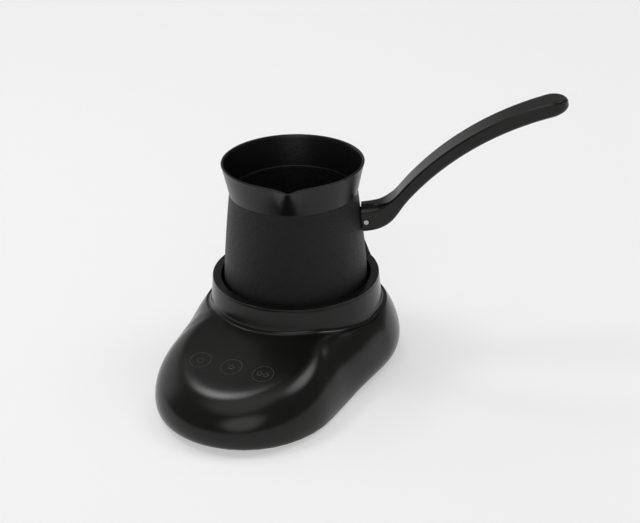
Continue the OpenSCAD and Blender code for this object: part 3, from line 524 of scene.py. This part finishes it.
# ---- Heater under the pot ---------------------------------------------------------------
# A cast plate with a turned face lies on a silicone gasket in the seat ring; the tubular
# element, heat shield, thermostat, fuse and sprung probe hang under it.
turned_face = Finish("turned aluminium", Metallic=1.0)
face_place = turned_face.place()
face_centre = turned_face.node("ShaderNodeMapping", {}, face_place,
                               tuple(-c for c in pot_axis))
rings = turned_face.node("ShaderNodeTexWave", {"wave_type": "RINGS",
                                               "rings_direction": "Z"},
                         Vector=face_centre, Scale=420.0, Distortion=0.4, output="Fac")
face_stain = turned_face.noise(face_place, 45.0, 4.0)
turned_face.set(Base_Color=turned_face.mix(face_stain, (0.33, 0.33, 0.33, 1),
                                           (0.52, 0.52, 0.53, 1)),
                Roughness=face_stain * 0.15 + 0.3, Normal=turned_face.bump(rings, 0.00004))
turned_face.on(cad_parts["hot_plate"])
bare_metal("rolled sheet", (0.68, 0.69, 0.7), 0.3, (1.0, 8.0, 1.0)).on(
    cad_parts["heat_shield"])
bare_metal("stained tube", (0.24, 0.22, 0.2), 0.42).on(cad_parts["heating_element"])


def plain_part(name, colour, roughness, grain=700.0):
    """A moulded or coated inner part: a fine mottle of one colour."""
    finish = Finish(name)
    mottle = finish.noise(finish.place(), grain, 3.0)
    finish.set(Base_Color=finish.mix(mottle, [c * 0.82 for c in colour] + [1.0],
                                     [min(1.0, c * 1.15) for c in colour] + [1.0]),
               Roughness=mottle * 0.12 + roughness,
               Normal=finish.bump(mottle, 0.00005, 0.5))
    return finish


for nodes, name, colour, roughness in (
        (("plate_gasket",), "silicone", (0.014, 0.014, 0.014), 0.6),
        (("thermostat", "probe_guide"), "ceramic", (0.72, 0.69, 0.6), 0.45),
        (("thermal_fuse", "touch_carrier", "indicator_leds"), "nylon", (0.7, 0.7, 0.66), 0.5),
        (("power_board", "touch_board"), "circuit board", (0.025, 0.14, 0.06), 0.35),
        (("relay",), "relay case", (0.03, 0.09, 0.33), 0.35),
        (("transformer",), "winding tape", (0.5, 0.33, 0.05), 0.5),
        (("filter_capacitor", "buzzer"), "black case", (0.02, 0.02, 0.022), 0.4),
        (("terminal_block",), "terminal moulding", (0.04, 0.22, 0.08), 0.45)):
    plain_part(name, colour, roughness).on(*[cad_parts[n] for n in nodes])

# ---- Pot --------------------------------------------------------------------------------
# A drawn metal pot with a dark non-stick coat. The body narrows to a crease, the throat
# flares to the rim, and one lip is pressed out of it a quarter turn from the handle.
SEAT_Z, POT_H, THROAT_H, POT_WALL, CORNER_R = 45.2, 83.0, 19.0, 1.5, 5.0
FOOT_BODY_R, NECK_R, RIM_R, LIP_REACH = 44.0, 38.4, 42.5, 7.5
RIM_Z = SEAT_Z + POT_H
CREASE_Z, BODY_LOW = RIM_Z - THROAT_H, SEAT_Z + CORNER_R
POT_TURN = 22.0
SPOUT_HALF, LIP_FALL = 9.0, 7.2     # the spout's half width and the lip's fall, in degrees
SPOUT_BLUNT = 60.0                  # how much rounder the spout is at the crease


def body_r(z):
    """Outer radius of the body: a slow curve from its foot in to the crease."""
    t = np.clip((z - BODY_LOW) / (CREASE_Z - BODY_LOW), 0, 1)
    return FOOT_BODY_R + (NECK_R - FOOT_BODY_R) * t ** 1.34


def lip(angle, t):
    """Reach of the lip beyond the round rim, falling away quickly on both sides. Its
    middle is sharp at the rim and rounder below, where the spout starts at the crease."""
    a = np.degrees((angle + 1.5 * np.pi) % (2 * np.pi) - np.pi)
    blunt = 2 + SPOUT_BLUNT * (1 - t)
    spout = np.exp(-(a / SPOUT_HALF) ** 4)
    reach = LIP_REACH * np.exp(-(np.sqrt(a * a + blunt) - np.sqrt(blunt)) / LIP_FALL)
    return reach * t ** (1.7 - 0.6 * spout)


def throat_r(angle, t):
    """Outer radius of the throat: t runs from 0 at the crease to 1 at the rim."""
    t = np.maximum(t, 0)
    return NECK_R + (RIM_R - NECK_R) * (0.9 * t + 0.1 * t * t) + lip(angle, t)


def pot_section(angle):
    """Closed outline of the pot's wall at each angle, from the middle of the floor, up
    the outside to the rim and down the inside."""
    rows = [(r, SEAT_Z) for r in (0.0, 13.0, 26.0, FOOT_BODY_R - CORNER_R)]
    for a in np.radians(np.arange(-80, 0, 10)):
        rows.append((FOOT_BODY_R - CORNER_R + CORNER_R * np.cos(a),
                     BODY_LOW + CORNER_R * np.sin(a)))
    side = np.linspace(BODY_LOW, CREASE_Z - 0.25, 34)
    rows += [(body_r(z), z) for z in side]
    rows = [(r + 0 * angle, z + 0 * angle) for r, z in rows]
    rise = np.concatenate([[0.016], np.linspace(0.05, 0.96, 16)])
    for t in rise:
        rows.append((throat_r(angle, t), CREASE_Z + t * THROAT_H + 0 * angle))
    top = throat_r(angle, 1.0)
    for inset, down in ((0.0, 0.42), (0.12, 0.16), (0.42, 0.02), (0.75, 0.0), (1.08, 0.02),
                        (1.38, 0.16), (1.5, 0.42)):
        rows.append((top - inset, RIM_Z - down + 0 * angle))
    for t in rise[::-1]:
        rows.append((throat_r(angle, t) - POT_WALL, CREASE_Z + t * THROAT_H + 0 * angle))
    inner = [(body_r(z) - POT_WALL, z) for z in side[::-1]]
    turn_r = CORNER_R - POT_WALL
    for a in np.radians(np.arange(-10, -90, -10)):
        inner.append((FOOT_BODY_R - CORNER_R + turn_r * np.cos(a),
                      BODY_LOW + turn_r * np.sin(a)))
    inner += [(r, SEAT_Z + POT_WALL) for r in (FOOT_BODY_R - CORNER_R, 26.0, 13.0, 0.0)]
    rows += [(r + 0 * angle, z + 0 * angle) for r, z in inner]
    return np.array(rows)


def turned(points):
    """Turns points about the pot axis to the way the pot stands in its seat."""
    c, s = np.cos(np.radians(POT_TURN)), np.sin(np.radians(POT_TURN))
    return points @ np.array([[c, s, 0], [-s, c, 0], [0, 0, 1]])


# columns lie closer together round the lip
spread = np.linspace(-1, 1, 320, endpoint=False)
pot_angle = np.radians(-90 + 180 * (0.4 * spread + 0.6 * spread ** 3))
pot = surface("pot", turned(round_axis(pot_section(pot_angle), pot_angle)),
              close_columns=True, sharp=60)
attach(pot, "pot")
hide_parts("pot_body")

coat = Finish("non-stick coat", Specular_IOR_Level=0.31)
coat_place = coat.place()
height = coat.node("ShaderNodeSeparateXYZ", {}, coat_place, output="Z")
below = coat.range(height, CREASE_Z * MM - 0.0004, CREASE_Z * MM + 0.0004, 1.0, 0.0)
peel = coat.noise(coat_place, 950.0, 2.5, 0.6)
fine_peel = coat.noise(coat_place, 1900.0, 2.0)
drift = coat.noise(coat_place, 30.0, 3.0)
coat.set(
    Base_Color=coat.mix(below, (0.0042, 0.0043, 0.005, 1), (0.0052, 0.0054, 0.006, 1)),
    Roughness=drift * 0.06 + 0.26 + below * 0.17,
    Normal=coat.bump((peel * 0.75 + fine_peel * 0.25) * (below * 0.85 + 0.15), 0.0012, 0.9))
coat.on(pot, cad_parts["handle_bracket"])

# ---- Handle -----------------------------------------------------------------------------
# A solid black grip rises from its root on the pot in one long curve. Its top face is
# nearly flat with crisp edges, and a rivet through the root holds it on the bracket.
ROOT_Z, TIP_Z, REACH = SEAT_Z + 46.9, SEAT_Z + 118.7, 159.0
ROOT_WALL = body_r(ROOT_Z)
ROOT_X = ROOT_WALL - 1
ROOT_W, TIP_W, GRIP_T, ROOT_HALF_T = 13.0, 18.0, 7.6, 8.4
BEND = np.array([ROOT_WALL + 25.3, ROOT_Z + 15.2])
LOW = np.array([[ROOT_X, ROOT_Z], [ROOT_X + 13.7, ROOT_Z + 0.7],
                [BEND[0] - 8.3, BEND[1] - 10.4], BEND])
HIGH = np.array([BEND, BEND + [13.9, 17.4], [REACH - 49.8, TIP_Z - 11.2], [REACH, TIP_Z]])
RIVET_X, RIVET_Z, RIVET_R = ROOT_WALL + 2.9, ROOT_Z - 1.5, 1.0


def bezier(p, t):
    """Point and unit direction on a cubic curve at each t."""
    t = t[:, None]
    point = ((1 - t) ** 3 * p[0] + 3 * (1 - t) ** 2 * t * p[1]
             + 3 * (1 - t) * t ** 2 * p[2] + t ** 3 * p[3])
    way = ((1 - t) ** 2 * (p[1] - p[0]) + 2 * (1 - t) * t * (p[2] - p[1])
           + t ** 2 * (p[3] - p[2]))
    return point, way / np.linalg.norm(way, axis=1, keepdims=True)


def grip_grid():
    """The grip as rows of closed sections along two cubic curves. v runs 0 to 0.3 over
    the root and on to 1 at the tip, where both halves draw in to a round end."""
    v = np.concatenate([np.linspace(0, 0.3, 60, endpoint=False),
                        np.linspace(0.3, 0.95, 60, endpoint=False),
                        0.95 + 0.05 * np.sin(np.linspace(0, np.pi / 2, 16))])
    centre, way = (np.concatenate(pair) for pair in zip(
        bezier(LOW, v[v < 0.3] / 0.3), bezier(HIGH, (v[v >= 0.3] - 0.3) / 0.7)))
    ease = np.sin(np.minimum(v, 0.3) / 0.3 * np.pi / 2) ** 3.0
    half_t = np.where(v < 0.3, ROOT_HALF_T + (GRIP_T / 2 - ROOT_HALF_T) * ease,
                      GRIP_T / 2 + 0.8 * (v - 0.3) / 0.7)
    half_w = (ROOT_W + (TIP_W - ROOT_W) * v ** 0.8) / 2
    draw = np.sqrt(np.maximum(0.0, 1 - (np.maximum(0, v - 0.95) / 0.05) ** 2))
    half_w, half_t = half_w * draw, half_t * (0.25 + 0.75 * draw)
    return centre, way, half_w, half_t


def grip_ring(half_w, half_t, steps=6, side=14, face=8):
    """Offsets of one section across and up: a flat face on top with tight corners, and
    fuller corners below."""
    top = np.minimum(1.3 + 1.2 * np.maximum(0, half_t - 4.6), half_t * 0.62)
    low = np.minimum(3.0, half_t * 0.7)
    across, up = [], []
    for sign_x, sign_y, r in ((1, -1, low), (1, 1, top), (-1, 1, top), (-1, -1, low)):
        start = {(1, -1): -90, (1, 1): 0, (-1, 1): 90, (-1, -1): 180}[(sign_x, sign_y)]
        for a in np.radians(start + np.linspace(0, 90, steps)):
            across.append(sign_x * (half_w - r) + r * np.cos(a))
            up.append(sign_y * (half_t - r) + r * np.sin(a))
        if (sign_x, sign_y) in ((1, -1), (-1, 1)):
            for f in np.linspace(0, 1, side + 2)[1:-1]:
                other = top if sign_y < 0 else low
                across.append(sign_x * half_w)
                up.append((sign_y * (half_t - r)) * (1 - f)
                          + (-sign_y * (half_t - other)) * f)
        else:
            for f in np.linspace(0, 1, face + 2)[1:-1]:
                across.append(sign_x * (half_w - r) * (1 - 2 * f))
                up.append(sign_y * half_t)
    return np.array(across), np.array(up)


centre, way, half_w, half_t = grip_grid()
across, up = grip_ring(half_w, half_t)
grip = np.stack([centre[:, 0] - way[:, 1] * up, -across, centre[:, 1] + way[:, 0] * up], -1)
grip = grip.transpose(1, 0, 2)
# the root end follows the wall of the pot
grip[:, :, 0] = np.maximum(grip[:, :, 0], np.sqrt((body_r(grip[:, :, 2]) + 0.8) ** 2
                                                  - grip[:, :, 1] ** 2))
# the recess round the rivet's heads
gap = np.hypot(grip[:, :, 0] - RIVET_X, grip[:, :, 2] - RIVET_Z)
sunk = np.clip((RIVET_R + 0.8 - gap) / 0.3, 0, 1) * (np.abs(grip[:, :, 1]) > ROOT_W / 2 - 0.6)
grip[:, :, 1] -= np.sign(grip[:, :, 1]) * 0.7 * sunk
middle = [np.tile(end.mean(0), (grip.shape[1], 1)) for end in (grip[0], grip[-1])]
middle[0][:, 0] = np.sqrt((body_r(middle[0][:, 2]) + 0.8) ** 2 - middle[0][:, 1] ** 2)
grip = np.concatenate([middle[0][None], grip, middle[1][None]])
handle = surface("handle_grip", turned(grip), close_columns=True, sharp=40)
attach(handle, "pot")
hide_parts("handle")
moulded_black("grip plastic", (0.0045, 0.0046, 0.0038), 0.2, 2300.0, 0.00004).on(handle)
bare_metal("rivet steel", (0.5, 0.5, 0.49), 0.3).on(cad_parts["handle_rivet"])

# ---- Studio -----------------------------------------------------------------------------
# A pale floor, five soft lights in a dim room, a fill lamp for the floor and the plain
# colours, and a camera at the angle of the photograph.
CAMERA = pot_axis + np.array([310.155, -638.739, 422.615]) * MM
AIM = Vector((-0.37224, 0.80948, -0.45406)).normalized()
ROLL = radians(-1.156)
side = AIM.cross(Vector((0, 0, 1))).normalized()
top = side.cross(AIM)
right = side * np.cos(ROLL) + top * np.sin(ROLL)
above = top * np.cos(ROLL) - side * np.sin(ROLL)
lens = bpy.data.cameras.new("camera")
lens.lens, lens.sensor_width, lens.sensor_fit = 73.125, 36.0, "HORIZONTAL"
lens.clip_start, lens.clip_end = 0.01, 20.0
camera = bpy.data.objects.new("camera", lens)
camera.matrix_world = Matrix.Translation(Vector(CAMERA)) @ Matrix(
    (right, above, -AIM)).transposed().to_4x4()
bpy.context.scene.collection.objects.link(camera)
bpy.context.scene.camera = camera

FLOOR_WHITE, FLOOR_GLOW = 0.93, 0.45    # glow: the share of the floor that lamps don't light
floor_mesh = bpy.data.meshes.new("floor")
floor_mesh.from_pydata([(-4, -4, 0), (4, -4, 0), (4, 4, 0), (-4, 4, 0)], [], [(0, 1, 2, 3)])
floor = bpy.data.objects.new("floor", floor_mesh)
bpy.context.scene.collection.objects.link(floor)
pale = Finish("pale floor", Base_Color=(FLOOR_WHITE, FLOOR_WHITE, FLOOR_WHITE, 1), Roughness=0.9,
              Specular_IOR_Level=0.0)
path = [pale.node("ShaderNodeLightPath", {}, output=ray) for ray in
        ("Is Camera Ray", "Is Glossy Ray", "Is Transmission Ray")]
glow = pale.node("ShaderNodeEmission", {}, (FLOOR_WHITE, FLOOR_WHITE, 0.925, 1), 1.0)
seen = path[0] + path[1] + path[2]
lit = pale.node("ShaderNodeMixShader", {}, seen * FLOOR_GLOW, Wave(pale, pale.shader.outputs[0]),
                glow)
pale.tree.links.new(lit.socket, pale.tree.nodes["Material Output"].inputs["Surface"])
pale.on(floor)


def toward(azimuth, elevation):
    """The unit vector towards a direction in degrees, azimuth from +X to +Y."""
    a, e = radians(azimuth), radians(elevation)
    return Vector((cos(a) * cos(e), sin(a) * cos(e), sin(e)))


class Sky(Finish):
    """The studio round the object, made with the nodes of a Finish."""

    def __init__(self, name):
        self.world = bpy.data.worlds.new(name)
        self.world.use_nodes = True
        self.tree = self.world.node_tree
        self.shader = self.tree.nodes["Background"]
        self.shader.inputs["Color"].default_value = (1.0, 1.0, 1.0, 1.0)
        bpy.context.scene.world = self.world


# Five plain softboxes in a dim room: azimuth and elevation of the middle, radius and
# softness of the edge, all in degrees, and brightness.
KEY_LAMP = (145, 60, 5, 3, 9.0)
RIGHT_LAMP = (40, 60, 12, 5, 4.0)
FRONT_WINDOW = (-70, 30, 20, 8, 1.5)
LEFT_WALL = (160, 15, 25, 10, 0.8)
CEILING = (-120, 80, 20, 10, 0.9)
DIM = 0.22
sky = Sky("studio")
direction = sky.node("ShaderNodeTexCoord", {}, output="Generated")
level = DIM
for azimuth, elevation, radius, soft, strength in (
        KEY_LAMP, RIGHT_LAMP, FRONT_WINDOW, LEFT_WALL, CEILING):
    near = sky.node("ShaderNodeVectorMath", {"operation": "DOT_PRODUCT"}, direction,
                    toward(azimuth, elevation), output="Value")
    panel = sky.node("ShaderNodeMapRange", {"interpolation_type": "SMOOTHSTEP"}, near,
                     cos(radians(radius + soft)), cos(radians(max(radius - soft, 0))),
                     0.0, strength)
    level = panel + level

seen_by_camera = sky.node("ShaderNodeLightPath", {}, output="Is Camera Ray")
sky.set(Strength=level * (1.0 - seen_by_camera) + seen_by_camera * FLOOR_WHITE)


FILL_WAY, FILL_DISTANCE, FILL_SIZE, FILL_WATTS = toward(201, 64), 1.6, 0.4, 5.0
fill = bpy.data.lights.new("fill lamp", "AREA")
fill.shape, fill.size, fill.energy = "SQUARE", FILL_SIZE, FILL_WATTS
holder = bpy.data.objects.new("fill lamp", fill)
holder.location = Vector(pot_axis) + FILL_WAY * FILL_DISTANCE
holder.rotation_euler = FILL_WAY.to_track_quat("Z", "Y").to_euler()
holder.visible_glossy = False
bpy.context.scene.collection.objects.link(holder)

bpy.context.scene.view_settings.view_transform = "Standard"
